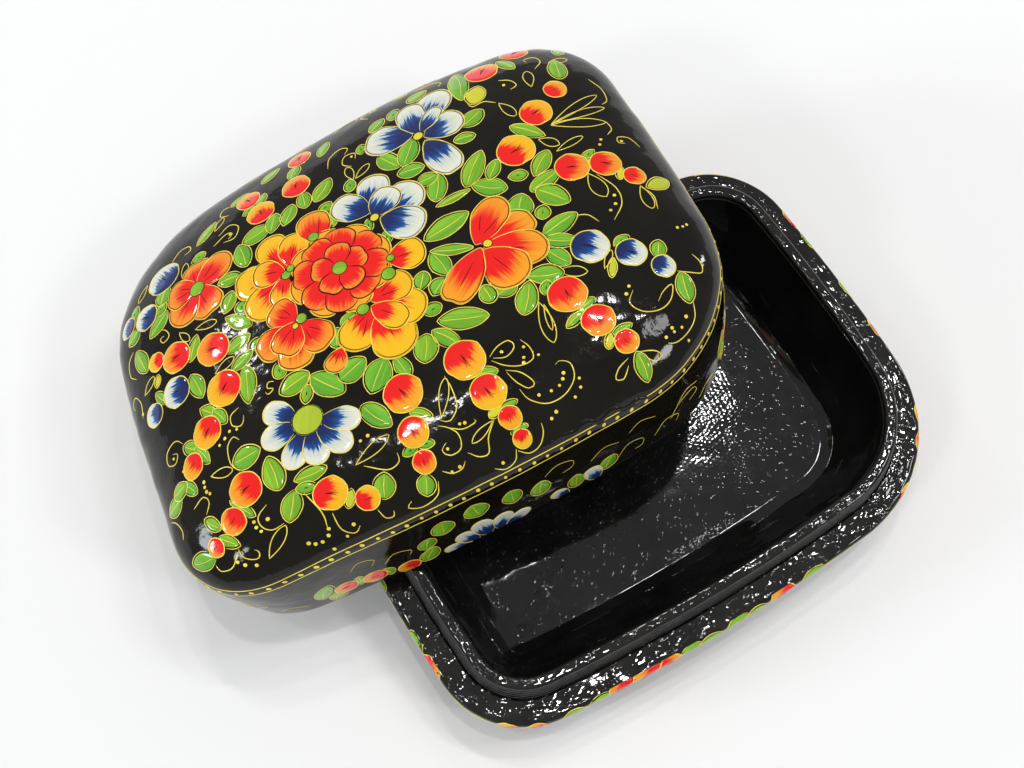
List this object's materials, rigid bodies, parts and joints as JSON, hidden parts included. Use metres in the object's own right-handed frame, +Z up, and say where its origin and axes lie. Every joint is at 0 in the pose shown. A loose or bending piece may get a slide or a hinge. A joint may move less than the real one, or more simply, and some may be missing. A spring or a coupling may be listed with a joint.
{
  "type": "papier-mache trinket box",
  "caption": "Rounded, pillow-shaped trinket box of lacquered papier-mache, standing open: a shallow bowl with a raised inner collar and a domed lift-off lid leaning across it.",
  "frame": {"origin": "middle of the bowl's flat foot, on the table", "axes": "+X along the bowl's length, +Y across it towards the lid's low edge, +Z up"},
  "size_m": [0.1874, 0.1686, 0.0727],
  "materials": {
    "base_lacquer": "glossy black lacquer over papier-mache, hand-painted",
    "collar_lacquer": "black lacquer over layered paper edges",
    "base_lining": "coarse muslin under glossy black lacquer",
    "lid_lacquer": "glossy black lacquer over papier-mache, hand-painted flowers",
    "lid_lining": "coarse muslin under glossy black lacquer"
  },
  "bodies": {
    "base": {"base_bowl": "base_lacquer", "base_collar": "collar_lacquer", "base_wall_lining": "base_lining", "base_floor_lining": "base_lining"},
    "lid": {"lid_shell": "lid_lacquer", "lid_lining": "lid_lining"}
  },
  "joints": [
    {"name": "lid_lift", "type": "slide", "parent": "base", "child": "lid", "axis": [0, 0, 1], "range_m": [0, 0.1]}
  ]
}
